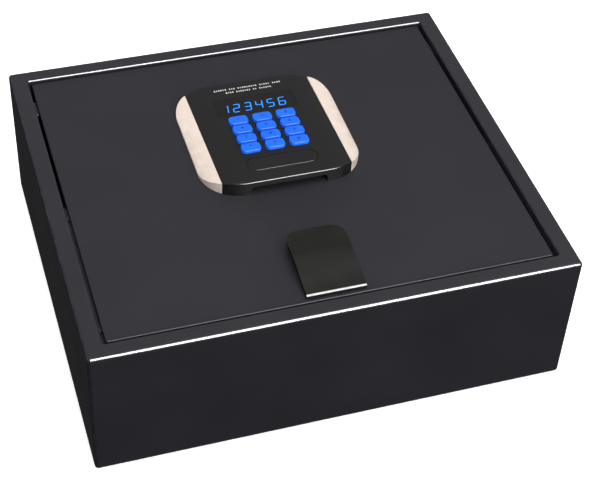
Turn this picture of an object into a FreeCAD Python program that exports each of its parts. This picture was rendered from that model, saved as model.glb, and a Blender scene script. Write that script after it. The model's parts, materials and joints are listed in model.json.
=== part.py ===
import FreeCAD, Part
import math
import os

# Top-opening drawer safe: a folded steel case, a hinged steel lid that lies just below
# the rim, an electronic keypad and a lift handle on the lid, and a motor lock under it.
# Frame: millimetres, +X right, -Y front, +Y back, +Z up, origin at the base's centre.

V = FreeCAD.Vector

# ---- case -------------------------------------------------------------------------
case_width = 400.0
case_depth = 350.0
case_height = 130.0
sheet = 2.0                 # case sheet thickness
case_edge_radius = 3.0      # outside radius of the folds
rim_width_side = 15.0
rim_width_end = 14.5
rim_edge_radius = 1.8       # fold between the rim and the lip
lip_depth = 18.0            # from the rim's top down to the lip's lower edge
mouth_corner_radius = 1.5
anchor_spacing_x = 280.0
anchor_spacing_y = 220.0
anchor_hole_radius = 4.5
mat_thickness = 3.0
mat_gap = 1.0
mat_hole_radius = 8.0

# ---- lid --------------------------------------------------------------------------
lid_thickness = 4.0
lid_sink = 3.0              # the lid's top lies this far below the rim
lid_gap_side = 3.0
lid_gap_front = 3.5
lid_gap_back = 1.2
lid_edge_radius = 1.0
lid_corner_radius = 1.5
ledge_width = 7.0
ledge_thickness = 2.0
bumper_radius = 3.0
bumper_thickness = 1.7
bumper_end_inset = 14.0     # side bumpers, from each end of their ledge
bumper_back_shift = 0.4     # front bumpers, back from their ledge's middle
rest_gap = 0.3              # gap left between faces that meet at rest

# ---- lid hinge --------------------------------------------------------------------
hinge_inset = 30.5          # from the mouth's back edge to the hinge axis
hinge_below_lid = 4.0       # from the lid's underside to the hinge axis
hinge_pin_radius = 2.0
bush_wall = 1.5
bush_play = 0.08
ear_thickness = 4.0
ear_from_edge = 2.0
ear_wall = 2.5
ear_web_margin = 2.0        # web, beyond the ear's eye at each end
bracket_thickness = 2.7
bracket_half_length = 9.0
bracket_top_gap = 0.5
bracket_bottom_drop = 21.0  # from the hinge axis to the bracket's lower edge
stop_tab_low = 19.0         # stop tab, below the hinge axis
stop_tab_high = 13.0
stop_tab_reach = 9.0
stop_tab_thickness = 4.0
stop_clearance = 0.4
lid_open_angle = 95.0
clip_thickness = 0.8
clip_radius = 3.6
clip_gap = 1.0              # between the lid's ear and the clip
bush_stand_out = 0.6        # bush, beyond each face of its ear

# ---- keypad housing ---------------------------------------------------------------
pad_width = 140.0
pad_corner_radius = 35.0
pad_front_y = -28.0
pad_front_height = 13.0     # above the lid
pad_back_height = 4.74
pad_behind_window = 22.5    # from the display window to the housing's back
pad_half_core = 56.0        # dark core, out to the seams with the side trims
pad_half_flat = 46.5
pad_shoulder_drop = 2.0
pad_wall = 1.8
pad_front_block = 12.0      # solid nose in front of the hollow
pad_front_radius = 1.0
pad_screw_inset_x = 6.5     # keypad screws, from the flat's edge
pad_screw_inset_front = 18.0
pad_screw_inset_back = 16.0
notch_half_width = 33.0
notch_height = 8.0
notch_depth = 8.0
notch_corner_radius = 3.5
trim_gap = 0.2
trim_seam_front = 11.0      # seam height above the lid at the front
trim_seam_back = 4.4
trim_edge_height = 2.6
trim_bulge = 1.3

# ---- keys, display and boards -----------------------------------------------------
key_pitch_x = 21.2
key_pitch_y = 13.1
key_behind_cover = 12.7     # from the override cover to the front row's middle
key_half_x = 8.3
key_half_y = 5.35
key_corner_radius = 3.4
key_rise = 2.7
key_top_radius = 0.8
key_play = 0.35
key_flange = 0.7
key_flange_thickness = 0.8
key_flange_gap = 0.2
key_travel = 0.9
key_stop_gap = 0.1          # left between a pressed key and its dome
board_thickness = 1.2
board_half_x = 44.0
board_before_keys = 7.9     # from the front row's middle to the board's front edge
board_behind_window = 2.5
rib_thickness = 2.0
rib_inset = 1.0             # from the board's side edge
rib_end_inset = 2.0
mat_sheet = 0.3
dome_height = 0.3
dome_radius = 3.0
mat_margin = 2.0            # dome sheet, beyond the outer keys
window_half_x = 36.0
window_behind_keys = 9.8    # from the back row's middle to the window
window_length = 24.5
window_thickness = 1.0
window_recess = 0.1
window_play = 0.15
window_ledge = 3.0
window_corner_radius = 2.0
display_thickness = 2.5
display_gap_x = 1.0         # round the display, inside the window's ledge
display_gap_y = 0.5

# ---- override lock ----------------------------------------------------------------
cover_half_x = 30.7
cover_half_y = 8.2
cover_behind_front = 23.0   # from the housing's front to the cover's middle
cover_corner_radius = 7.6
cover_thickness = 1.6
cover_play = 0.3
cover_pocket_depth = 2.4
cover_pocket_wall = 2.0
cylinder_radius = 6.5
cylinder_head_radius = 7.8
cylinder_head_thickness = 1.5
cylinder_head_depth = 6.5   # head's seat below the housing's front top edge
cylinder_play = 0.3
boss_wall = 2.5             # round the cylinder's head
boss_rise = 2.0             # above the head's seat
plug_radius = 4.5
plug_play = 0.05
keyway_width = 1.4
keyway_length = 6.4
keyway_depth = 18.0
cam_thickness = 2.5
cam_pin_radius = 1.5
cam_pin_play = 0.5
cam_hub_radius = 5.5
cam_gap = 1.0               # above the bolt plate and below the cylinder
cam_pin_reach = 0.8         # pin, below the bolt plate
cam_turn = 90.0
nut_thickness = 5.0
nut_radius = 10.0

# ---- bolt work --------------------------------------------------------------------
bolt_travel = 14.0
bolt_radius = 6.0
bolt_spread = 80.0          # bolt axis from the middle plane
bolt_below_lid = 19.0       # from the lid's underside to the bolt axis
bolt_tip_radius = 1.0
bolt_play = 0.1
bolt_tip_gap = 2.0          # drawn-in tip behind the ledge's edge
bolt_length = 39.5
keeper_half_x = 110.0
keeper_thickness = 4.0
keeper_drop = 18.0
keeper_window_play = 0.6
guide_half_x = 10.0
guide_length = 14.0
guide_gap = 5.5             # from the drawn-in tip back to the guide
guide_drop = 9.0            # below the bolt axis
bar_half_x = 95.0
bar_thickness = 4.0
bar_half_z = 7.0
plate_half_x = 16.0
plate_behind_plug = 19.0    # from the override plug's axis to the plate's back
plate_drop = 3.5            # plate's underside below the bolt axis
plate_thickness = 2.0

# ---- drive ------------------------------------------------------------------------
gear_module = 0.75
pinion_teeth = 16
pressure_angle = 20.0
gear_addendum = 0.8         # in modules
gear_dedendum = 1.2
gear_backlash = 0.12
pinion_inset = 0.5          # from each side of the rack
rack_left_x = -10.0
rack_right_x = -2.0
rack_stock = 2.5            # rack height from the plate to the pitch line
shaft_radius = 1.5
shaft_play = 0.1
shaft_end_gap = 0.2
shaft_hole_play = 0.5       # where it passes the motor's bracket
gearbox_left_x = 5.0
gearbox_length = 9.0
motor_length = 17.0
motor_radius = 6.0
motor_half_z = 5.0
motor_cap_length = 1.5
motor_cap_radius = 4.0
motor_bracket_thickness = 2.0
motor_bracket_margin = 2.0  # beyond the gearbox, front and back
motor_foot_reach = 6.0      # beyond the gearbox, sideways
stud_behind_bar = 20.0
stud_before_plug = 27.0
stud_radius = 2.2
stud_play = 0.5
stud_head_radius = 4.0
stud_head_thickness = 1.3
stud_head_gap = 0.3         # between the head and the bolt plate

# ---- lock carrier, boards and batteries -------------------------------------------
chassis_half_x = 60.0
chassis_behind_bar = 6.0
chassis_behind_plug = 35.0
chassis_thickness = 2.0
post_radius = 4.0
post_inset_x = 8.0
post_inset_y = 6.0
cover_sheet = 1.5
cover_drop = 8.0            # pan's underside below the bolt axis
cover_margin = 2.0
cover_corner = 3.0
cover_slot_play = 1.0       # round the bolt plate in the pan's front wall
cover_screw_reach = 7.0     # up into the posts
main_board_left_x = -56.0
main_board_right_x = -24.0
main_board_inset = 12.0     # from the chassis at the front and the back
main_board_rise = 6.0       # above the bolt axis
main_board_thickness = 1.6
board_post_radius = 2.5
board_post_inset_x = 3.0
board_post_front = 5.0
board_post_back = 14.0
# board parts, front to back: length, gap before, depth, left and right from the middle;
# a round one gives its centre on the left and no right side
board_part_sizes = ((16.0, 16.0, 7.0, -8.0, 8.0), (6.0, 5.0, 8.0, -8.0, None),
                    (12.0, 7.0, 1.6, -6.0, 6.0), (6.0, 7.0, 8.0, -8.0, None),
                    (6.0, 11.0, 5.0, -9.0, 7.0))
board_part_end_gap = 16.0
ribbon_left_x = -46.0
ribbon_right_x = -34.0
ribbon_behind_edge = 6.0    # from the keypad board's front edge
ribbon_thickness = 0.8
ribbon_play = 2.0
ribbon_end_gap = 0.05
holder_behind_chassis = 6.0
holder_wall = 2.0
holder_corner = 2.0
cell_radius = 7.1
cell_length = 49.5
cell_tip_length = 1.0
cell_tip_radius = 2.7
cell_count = 4
cell_gap = 0.3
holder_end_room = 5.0
battery_door_thickness = 1.5
battery_door_gap = 0.2
ridge_half_x = 10.0         # thumb ridge on the battery door
ridge_inset = 8.0
ridge_width = 2.0
ridge_height = 1.0
screw_radius = 1.5
screw_head_radius = 2.75
screw_head_height = 1.8
screw_play = 0.15
screw_reach = 3.0           # lid screws, above the lid's top
screw_head_gap = 0.2

# ---- lift handle ------------------------------------------------------------------
handle_half_x = 24.5
handle_inset = 3.0          # from the lid's front edge
handle_length = 65.0
handle_corner_radius = 12.0
handle_thickness = 3.2
handle_top = 11.0           # above the lid, over the flat back part
handle_run = 41.0           # sloping part, from the front edge
handle_front_radius = 1.0
handle_pin_back = 9.0       # from the lever's back edge to the pin
handle_pin_height = 4.0     # above the lid
handle_pin_radius = 1.5
handle_pin_play = 0.05
handle_knuckle_radius = 3.2
handle_knuckle_half_x = 14.0
handle_ear_radius = 3.5
handle_ear_gap = 0.6
handle_ear_half_x = 21.5
handle_foot_reach = 12.0    # from the pin forwards
handle_foot_height = 6.0
handle_web = 0.5
handle_screw_inset = 5.0    # from the foot's front edge
handle_neck_half_y = 2.0
handle_front_gap = 0.9      # under the lever's front edge

# ---- worked out from the sizes above ----------------------------------------------
half_w = case_width / 2
half_d = case_depth / 2
mouth_x = half_w - rim_width_side
mouth_y = half_d - rim_width_end
lid_top = case_height - lid_sink
lid_under = lid_top - lid_thickness
lid_x = mouth_x - lid_gap_side
lid_front = -mouth_y + lid_gap_front
lid_back = mouth_y - lid_gap_back
lip_bottom = case_height - lip_depth
ledge_top = lid_under - rest_gap - bumper_thickness
ledge_inner_x = mouth_x - ledge_width
ledge_inner_y = mouth_y - ledge_width
hinge_y = mouth_y - hinge_inset
hinge_z = lid_under - hinge_below_lid
ear_outer_x = lid_x - ear_from_edge
ear_inner_x = ear_outer_x - ear_thickness
ear_radius = hinge_pin_radius + bush_wall + ear_wall
bracket_inner_x = mouth_x - bracket_thickness

cover_centre_y = pad_front_y + cover_behind_front
key_front_row_y = cover_centre_y + cover_half_y + key_behind_cover
key_back_row_y = key_front_row_y + 3 * key_pitch_y
window_front_y = key_back_row_y + window_behind_keys
window_back_y = window_front_y + window_length
pad_back_y = window_back_y + pad_behind_window
pad_length = pad_back_y - pad_front_y
pad_slope = (pad_front_height - pad_back_height) / pad_length
pad_angle = math.atan(pad_slope)
pad_front_z = lid_top + pad_front_height
board_front_y = key_front_row_y - board_before_keys
board_back_y = window_back_y + board_behind_window
# board's upper face below the housing's top
board_depth = (pad_wall + key_flange_gap + key_flange_thickness + key_travel + key_stop_gap
               + dome_height + mat_sheet)
ribbon_y = board_front_y + ribbon_behind_edge

bolt_axis_z = lid_under - bolt_below_lid
bolt_tip_y = -ledge_inner_y + bolt_tip_gap
bolt_root_y = bolt_tip_y + bolt_length
bar_back_y = bolt_root_y + bar_thickness
guide_front_y = bolt_tip_y + guide_gap
guide_back_y = guide_front_y + guide_length
plate_bottom_z = bolt_axis_z - plate_drop
plate_top = plate_bottom_z + plate_thickness
plate_back_y = cover_centre_y + plate_behind_plug
cam_bottom = plate_top + cam_gap
cam_top = cam_bottom + cam_thickness
crank_radius = bolt_travel / (2 * math.sin(math.radians(cam_turn / 2)))
cylinder_head_z = pad_front_z - cylinder_head_depth
cylinder_bottom_z = cam_top + cam_gap
stud_y = (bar_back_y + stud_behind_bar, cover_centre_y - stud_before_plug)
pinion_pitch_radius = gear_module * pinion_teeth / 2
pinion_y = sum(stud_y) / 2
rack_pitch_z = plate_top + rack_stock
pinion_z = rack_pitch_z + pinion_pitch_radius
chassis_under = lid_under - chassis_thickness
chassis_front_y = bar_back_y + chassis_behind_bar
chassis_back_y = cover_centre_y + chassis_behind_plug
cover_bottom_z = bolt_axis_z - cover_drop
cover_floor_top = cover_bottom_z + cover_sheet
main_board_z = bolt_axis_z + main_board_rise
main_board_front_y = chassis_front_y + main_board_inset
main_board_back_y = chassis_back_y - main_board_inset
holder_front_y = chassis_back_y + holder_behind_chassis
holder_back_y = holder_front_y + 2 * holder_wall + cell_length + cell_tip_length + holder_end_room
holder_half_x = (2 * cell_radius + cell_gap) * cell_count / 2 + holder_wall
holder_bottom_z = lid_under - holder_wall - 2 * cell_radius - cell_gap
cell_axis_z = lid_under - holder_wall - cell_radius - cell_gap / 2

handle_front_y = lid_front + handle_inset
handle_back_y = handle_front_y + handle_length
handle_flat_end_y = handle_front_y + handle_run
handle_pin_y = handle_back_y - handle_pin_back
handle_pin_z = lid_top + handle_pin_height
handle_top_z = lid_top + handle_top
handle_foot_front_y = handle_pin_y - handle_foot_reach


# ---- small makers -----------------------------------------------------------------
def box(x0, x1, y0, y1, z0, z1):
    return Part.makeBox(x1 - x0, y1 - y0, z1 - z0, V(x0, y0, z0))


def rod_x(y, z, x0, x1, radius):
    return Part.makeCylinder(radius, x1 - x0, V(x0, y, z), V(1, 0, 0))


def rod_y(x, z, y0, y1, radius):
    return Part.makeCylinder(radius, y1 - y0, V(x, y0, z), V(0, 1, 0))


def rod_z(x, y, z0, z1, radius):
    return Part.makeCylinder(radius, z1 - z0, V(x, y, z0), V(0, 0, 1))


def slab(x0, x1, y0, y1, z0, z1, radius):
    """Plate whose four upright edges are rounded."""
    plate = box(x0, x1, y0, y1, z0, z1)
    upright = [e for e in plate.Edges if abs(e.tangentAt(e.FirstParameter).z) > 0.9]
    return plate.makeFillet(radius, upright)


def prism(points, direction):
    """Solid pushed along direction from a closed outline of straight sides."""
    wire = Part.makePolygon(points + [points[0]])
    return Part.Face(wire).extrude(direction)


def hexagon_z(x, y, z0, z1, radius):
    corners = []
    for i in range(6):
        turn = math.radians(60 * i)
        corners.append(V(x + radius * math.cos(turn), y + radius * math.sin(turn), z0))
    return prism(corners, V(0, 0, z1 - z0))


def edges_at(shape, test):
    """Edges whose middle point passes the test."""
    found = []
    for edge in shape.Edges:
        middle = edge.valueAt((edge.FirstParameter + edge.LastParameter) / 2)
        if test(middle):
            found.append(edge)
    return found


def near(a, b, tolerance=0.01):
    return abs(a - b) < tolerance


def joined(pieces):
    whole = pieces[0]
    for piece in pieces[1:]:
        whole = whole.fuse(piece)
    return whole.removeSplitter()


def cut_all(shape, tools):
    for tool in tools:
        shape = shape.cut(tool)
    return shape


def both_sides(shape):
    """A piece and its mirror image about the middle plane."""
    return [shape, shape.mirror(V(0, 0, 0), V(1, 0, 0))]


def pad_y(y):
    """Distance back along the sloping top for a place y in the safe's frame."""
    return (y - pad_front_y) / math.cos(pad_angle)


def on_pad(shape):
    """Move a shape from the sloping top's own frame (top face at z = 0, front edge at
    y = 0) to its place on the lid."""
    placed = shape.copy()
    placed.rotate(V(0, 0, 0), V(1, 0, 0), -math.degrees(pad_angle))
    placed.translate(V(0, pad_front_y, pad_front_z))
    return placed


def pad_slab(x0, x1, y0, y1, z0, z1, radius):
    return on_pad(slab(x0, x1, pad_y(y0), pad_y(y1), z0, z1, radius))


def pad_box(x0, x1, y0, y1, z0, z1):
    return on_pad(box(x0, x1, pad_y(y0), pad_y(y1), z0, z1))


# ---- case -------------------------------------------------------------------------
def anchor_places():
    for sx in (-1, 1):
        for sy in (-1, 1):
            yield sx * anchor_spacing_x / 2, sy * anchor_spacing_y / 2


def body_shell():
    outer = box(-half_w, half_w, -half_d, half_d, 0, case_height)
    outer = outer.makeFillet(case_edge_radius, outer.Edges)
    hollow = slab(-half_w + sheet, half_w - sheet, -half_d + sheet, half_d - sheet,
                  sheet, case_height - sheet, case_edge_radius - sheet)
    lip = slab(-mouth_x - sheet, mouth_x + sheet, -mouth_y - sheet, mouth_y + sheet,
               lip_bottom, case_height - sheet, mouth_corner_radius + sheet)
    mouth = slab(-mouth_x, mouth_x, -mouth_y, mouth_y,
                 lip_bottom - 1, case_height + 1, mouth_corner_radius)
    shell = outer.cut(hollow).fuse(lip).cut(mouth).removeSplitter()

    def inner_rim(p):
        on_side = near(abs(p.x), mouth_x, 1.0) and abs(p.y) <= mouth_y + 0.1
        on_end = near(abs(p.y), mouth_y, 1.0) and abs(p.x) <= mouth_x + 0.1
        return near(p.z, case_height) and (on_side or on_end)

    shell = shell.makeFillet(rim_edge_radius, edges_at(shell, inner_rim))
    holes = [rod_z(x, y, -1, sheet + 1, anchor_hole_radius) for x, y in anchor_places()]
    return cut_all(shell, holes)


def floor_mat():
    mat = slab(-half_w + sheet + mat_gap, half_w - sheet - mat_gap,
               -half_d + sheet + mat_gap, half_d - sheet - mat_gap,
               sheet, sheet + mat_thickness, case_edge_radius)
    holes = [rod_z(x, y, 0, sheet + mat_thickness + 1, mat_hole_radius)
             for x, y in anchor_places()]
    return cut_all(mat, holes)


def lid_ledges():
    """Shelves welded to the lip: one along the front, one along each side's front half."""
    low = ledge_top - ledge_thickness
    side = box(ledge_inner_x, mouth_x, -ledge_inner_y + rest_gap, 0, low, ledge_top)
    front_half = mouth_x - 2 * mouth_corner_radius
    front = box(-front_half, front_half, -mouth_y, -ledge_inner_y, low, ledge_top)
    return both_sides(side) + [front]


def lid_bumpers():
    pads = []
    side_x = mouth_x - ledge_width / 2
    for y in (-ledge_inner_y + bumper_end_inset, -bumper_end_inset):
        pads += both_sides(rod_z(side_x, y, ledge_top, ledge_top + bumper_thickness, bumper_radius))
    front_y = -mouth_y + ledge_width / 2
    pads += both_sides(rod_z(half_w / 2, front_y + bumper_back_shift, ledge_top,
                             ledge_top + bumper_thickness, bumper_radius))
    return pads


def bolt_keeper():
    """Strip below the front lip, with one square window for each bolt."""
    back = -mouth_y - sheet + keeper_thickness
    strip = box(-keeper_half_x, keeper_half_x, -mouth_y - sheet, back, lip_bottom - keeper_drop, lip_bottom)
    half = bolt_radius + keeper_window_play
    window = box(bolt_spread - half, bolt_spread + half, -mouth_y - sheet - 1, back + 1,
                 bolt_axis_z - half, bolt_axis_z + half)
    return cut_all(strip, both_sides(window))


def hinge_brackets():
    """Side plates that carry the hinge pins, each with a tab that stops the lid."""
    top = lid_under - bracket_top_gap
    low = hinge_z - bracket_bottom_drop
    plate = box(bracket_inner_x, mouth_x, hinge_y - bracket_half_length,
                hinge_y + bracket_half_length, low, top)
    # the open lid's tail lies along a line through the stop; the tab ends just short of it
    opened = math.radians(lid_open_angle)
    tail_offset = lid_under - hinge_z
    tail_y = (tail_offset + math.cos(opened) * stop_tab_low) / math.sin(opened)
    tab_back = hinge_y + tail_y - stop_clearance
    tab = box(mouth_x - stop_tab_reach, mouth_x, tab_back - stop_tab_thickness, tab_back,
              hinge_z - stop_tab_low, hinge_z - stop_tab_high)
    bore = rod_x(hinge_y, hinge_z, bracket_inner_x - 1, mouth_x + 1, hinge_pin_radius)
    return both_sides(joined([plate, tab]).cut(bore))


def pin_end_x():
    return ear_inner_x - clip_gap - 3 * clip_thickness


def hinge_pins():
    return both_sides(rod_x(hinge_y, hinge_z, pin_end_x(), mouth_x, hinge_pin_radius))


def pin_clips():
    start = ear_inner_x - clip_gap - clip_thickness
    ring = rod_x(hinge_y, hinge_z, start, start + clip_thickness, clip_radius)
    ring = ring.cut(rod_x(hinge_y, hinge_z, start - 1, start + 2, hinge_pin_radius))
    return both_sides(ring)


# ---- lid --------------------------------------------------------------------------
def keypad_screw_places():
    inset = pad_half_flat - pad_screw_inset_x
    for x in (-inset, inset):
        yield x, pad_front_y + pad_screw_inset_front
        yield x, pad_back_y - pad_screw_inset_back


def handle_screw_places():
    for x in (-1, 1):
        yield x * (handle_knuckle_half_x + handle_ear_half_x) / 2, handle_foot_front_y + handle_screw_inset


def lid_screw_places():
    return list(keypad_screw_places()) + list(handle_screw_places())


def ribbon_hole(z0, z1):
    return box(ribbon_left_x - ribbon_play, ribbon_right_x + ribbon_play,
               ribbon_y - ribbon_play, ribbon_y + ribbon_play, z0, z1)


def lid_plate():
    plate = slab(-lid_x, lid_x, lid_front, lid_back, lid_under, lid_top, lid_corner_radius)
    plate = plate.makeFillet(lid_edge_radius, edges_at(plate, lambda p: near(p.z, lid_top)))
    tools = [rod_z(0, cover_centre_y, lid_under - 1, lid_top + 1, cylinder_radius + cylinder_play),
             ribbon_hole(lid_under - 1, lid_top + 1)]
    for x, y in lid_screw_places():
        tools.append(rod_z(x, y, lid_under - 1, lid_top + 1, screw_radius + screw_play))
        tools.append(rod_z(x, y, lid_under - 1, lid_under + screw_head_height + screw_head_gap,
                           screw_head_radius + screw_play))
    return cut_all(plate, tools)


def lid_ears():
    half_web = ear_radius + ear_web_margin
    web = box(ear_inner_x, ear_outer_x, hinge_y - half_web, hinge_y + half_web, hinge_z + 1, lid_under)
    eye = rod_x(hinge_y, hinge_z, ear_inner_x, ear_outer_x, ear_radius)
    above_lid = box(ear_inner_x - 1, ear_outer_x + 1, hinge_y - 2 * ear_radius,
                    hinge_y + 2 * ear_radius, lid_under, lid_top + ear_radius)
    bore = rod_x(hinge_y, hinge_z, ear_inner_x - 1, ear_outer_x + 1, hinge_pin_radius + bush_wall)
    return both_sides(joined([web, eye]).cut(above_lid).cut(bore))


def ear_bushes():
    start = ear_inner_x - bush_stand_out
    end = ear_outer_x + bush_stand_out
    bush = rod_x(hinge_y, hinge_z, start, end, hinge_pin_radius + bush_wall)
    return both_sides(bush.cut(rod_x(hinge_y, hinge_z, start - 1, end + 1, hinge_pin_radius + bush_play)))


def lid_screws():
    """Pan screws sunk into the lid's underside, for the keypad and the handle."""
    screws = []
    for x, y in lid_screw_places():
        head = rod_z(x, y, lid_under, lid_under + screw_head_height, screw_head_radius)
        shank = rod_z(x, y, lid_under, lid_top + screw_reach, screw_radius)
        screws.append(joined([head, shank]))
    return screws


# ---- keypad -----------------------------------------------------------------------
def pad_plan(inset):
    return slab(-pad_width / 2 + inset, pad_width / 2 - inset, pad_front_y + inset, pad_back_y - inset,
                lid_top, pad_front_z + 1, pad_corner_radius - inset)


def pad_core(inset):
    """Wedge between the seams, under the sloping top, drawn in by inset on every side."""
    half = pad_half_core - inset
    flat = pad_half_flat - inset / 2
    shoulder = -pad_shoulder_drop - inset
    floor = -2 * pad_front_height
    outline = [V(-half, -10, floor), V(-half, -10, shoulder), V(-flat, -10, -inset),
               V(flat, -10, -inset), V(half, -10, shoulder), V(half, -10, floor)]
    under_top = on_pad(prism(outline, V(0, pad_length + 20, 0)))
    return pad_plan(inset).common(under_top)


def key_places():
    """Key name, column centre and row centre, from the back row forwards."""
    rows = (("1", "2", "3"), ("4", "5", "6"), ("7", "8", "9"), ("star", "0", "hash"))
    for row, names in enumerate(rows):
        for column, name in enumerate(names):
            yield name, (column - 1) * key_pitch_x, key_back_row_y - row * key_pitch_y


def notch():
    low = lid_top - 1
    gap = box(-notch_half_width, notch_half_width, pad_front_y - 1, pad_front_y + notch_depth,
              low, lid_top + notch_height)
    upper = edges_at(gap, lambda p: near(p.z, lid_top + notch_height) and near(abs(p.x), notch_half_width))
    return gap.makeFillet(notch_corner_radius, upper)


def keypad_housing():
    core = pad_core(0)
    front_edge = edges_at(core, lambda p: p.z > pad_front_z - 0.2 and p.y < pad_front_y + 0.5)
    core = core.makeFillet(pad_front_radius, front_edge)
    behind_nose = box(-pad_width, pad_width, pad_front_y + pad_front_block, pad_back_y, lid_top - 1,
                      pad_front_z + 1)
    housing = core.cut(pad_core(pad_wall).common(behind_nose))
    # inside: the pocket floor of the override cover, the cylinder's boss, screw bosses
    # and two ribs that the keypad board bears on
    cover_front = cover_centre_y - cover_half_y
    cover_back = cover_centre_y + cover_half_y
    wall = cover_pocket_wall
    extras = [pad_slab(-cover_half_x - wall, cover_half_x + wall, cover_front - wall, cover_back + wall,
                       -cover_pocket_depth - pad_wall, -pad_wall / 2, cover_corner_radius),
              rod_z(0, cover_centre_y, lid_top, cylinder_head_z + boss_rise,
                    cylinder_head_radius + boss_wall)]
    for x, y in keypad_screw_places():
        extras.append(rod_z(x, y, lid_top, pad_front_z, post_radius).common(pad_core(pad_wall / 2)))
    rib_x = board_half_x - rib_inset
    extras += both_sides(pad_box(rib_x - rib_thickness, rib_x, board_front_y + rib_end_inset,
                                 board_back_y - rib_end_inset, -board_depth, -pad_wall / 2))
    housing = joined([housing] + extras)
    play = cover_play
    tools = [notch(),
             pad_slab(-cover_half_x - play, cover_half_x + play, cover_front - play, cover_back + play,
                      -cover_pocket_depth, 1, cover_corner_radius + play),
             rod_z(0, cover_centre_y, cylinder_head_z, pad_front_z, cylinder_head_radius + cylinder_play),
             rod_z(0, cover_centre_y, lid_top - 1, pad_front_z, cylinder_radius + cylinder_play),
             pad_slab(-window_half_x - window_play, window_half_x + window_play,
                      window_front_y - window_play, window_back_y + window_play,
                      -window_thickness - window_recess, 1, window_corner_radius),
             pad_slab(-window_half_x + window_ledge, window_half_x - window_ledge,
                      window_front_y + window_ledge, window_back_y - window_ledge,
                      -pad_wall - 1, 1, window_corner_radius / 2)]
    for _, x, y in key_places():
        tools.append(pad_slab(x - key_half_x - key_play, x + key_half_x + key_play,
                              y - key_half_y - key_play, y + key_half_y + key_play,
                              -pad_wall - 1, 1, key_corner_radius + key_play))
    for x, y in keypad_screw_places():
        tools.append(rod_z(x, y, lid_top - 1, lid_top + screw_reach, screw_radius))
    return cut_all(housing, tools)


def trim_section(y, seam_height):
    """Outline of a side trim across its width: high at the seam, low at the outer edge."""
    seam_x = pad_half_core + trim_gap
    edge_x = pad_width / 2
    seam_top = V(seam_x, y, lid_top + seam_height)
    edge_top = V(edge_x, y, lid_top + trim_edge_height)
    crown = (seam_top + edge_top) * 0.5 + V(0, 0, trim_bulge)
    sides = [Part.makeLine(V(seam_x, y, lid_top), seam_top),
             Part.Arc(seam_top, crown, edge_top).toShape(),
             Part.makeLine(edge_top, V(edge_x, y, lid_top)),
             Part.makeLine(V(edge_x, y, lid_top), V(seam_x, y, lid_top))]
    return Part.Wire(sides)


def keypad_trim():
    """Pale side trim on the right: a slice of the rounded square outside the seam."""
    body = Part.makeLoft([trim_section(pad_front_y, trim_seam_front),
                          trim_section(pad_back_y, trim_seam_back)], True, True)
    return body.common(pad_plan(0))


def display_window():
    return pad_slab(-window_half_x, window_half_x, window_front_y, window_back_y,
                    -window_thickness - window_recess, -window_recess, window_corner_radius)


def display_module():
    half_x = window_half_x - window_ledge - display_gap_x
    inset_y = window_ledge + display_gap_y
    return pad_box(-half_x, half_x, window_front_y + inset_y, window_back_y - inset_y,
                   -board_depth, -board_depth + display_thickness)


def keypad_board():
    return pad_box(-board_half_x, board_half_x, board_front_y, board_back_y,
                   -board_depth - board_thickness, -board_depth)


def key_mat():
    """Dome sheet: a thin sheet with one dome under each key."""
    half_x = key_pitch_x + key_half_x + mat_margin
    low_y = key_back_row_y - 3 * key_pitch_y - key_half_y
    high_y = key_back_row_y + key_half_y
    sheet_top = -board_depth + mat_sheet
    pieces = [pad_box(-half_x, half_x, low_y, high_y, -board_depth, sheet_top)]
    for _, x, y in key_places():
        pieces.append(on_pad(rod_z(x, pad_y(y), -board_depth, sheet_top + dome_height, dome_radius)))
    return joined(pieces)


def key_cap(x, y):
    """Key cap with the flange that keeps it under the housing's top."""
    cap = slab(x - key_half_x, x + key_half_x, pad_y(y) - key_half_y, pad_y(y) + key_half_y,
               -pad_wall - key_flange_gap - key_flange_thickness, key_rise, key_corner_radius)
    cap = cap.makeFillet(key_top_radius, edges_at(cap, lambda p: near(p.z, key_rise)))
    reach_x = key_half_x + key_flange
    reach_y = key_half_y + key_flange
    flange = slab(x - reach_x, x + reach_x, pad_y(y) - reach_y, pad_y(y) + reach_y,
                  -pad_wall - key_flange_gap - key_flange_thickness, -pad_wall - key_flange_gap,
                  key_corner_radius)
    return on_pad(joined([cap, flange]))


# ---- override lock ----------------------------------------------------------------
def override_cover():
    return pad_slab(-cover_half_x, cover_half_x, cover_centre_y - cover_half_y,
                    cover_centre_y + cover_half_y, -cover_thickness, 0, cover_corner_radius)


def override_cylinder():
    barrel = rod_z(0, cover_centre_y, cylinder_bottom_z, cylinder_head_z, cylinder_radius)
    head = rod_z(0, cover_centre_y, cylinder_head_z, cylinder_head_z + cylinder_head_thickness,
                 cylinder_head_radius)
    bore = rod_z(0, cover_centre_y, cylinder_bottom_z - 1, pad_front_z, plug_radius + plug_play)
    return joined([barrel, head]).cut(bore)


def cylinder_nut():
    nut = hexagon_z(0, cover_centre_y, chassis_under - nut_thickness, chassis_under, nut_radius)
    return nut.cut(rod_z(0, cover_centre_y, 0, case_height, cylinder_radius))


def override_plug():
    top = cylinder_head_z + cylinder_head_thickness
    plug = rod_z(0, cover_centre_y, cam_top, top, plug_radius)
    keyway = box(-keyway_width / 2, keyway_width / 2, cover_centre_y - keyway_length / 2,
                 cover_centre_y + keyway_length / 2, top - keyway_depth, top + 1)
    return plug.cut(keyway)


def crank_place():
    """Centre of the crank pin when the bolts are drawn in."""
    half_turn = math.radians(cam_turn / 2)
    return (crank_radius * math.cos(half_turn),
            cover_centre_y + crank_radius * math.sin(half_turn))


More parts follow.
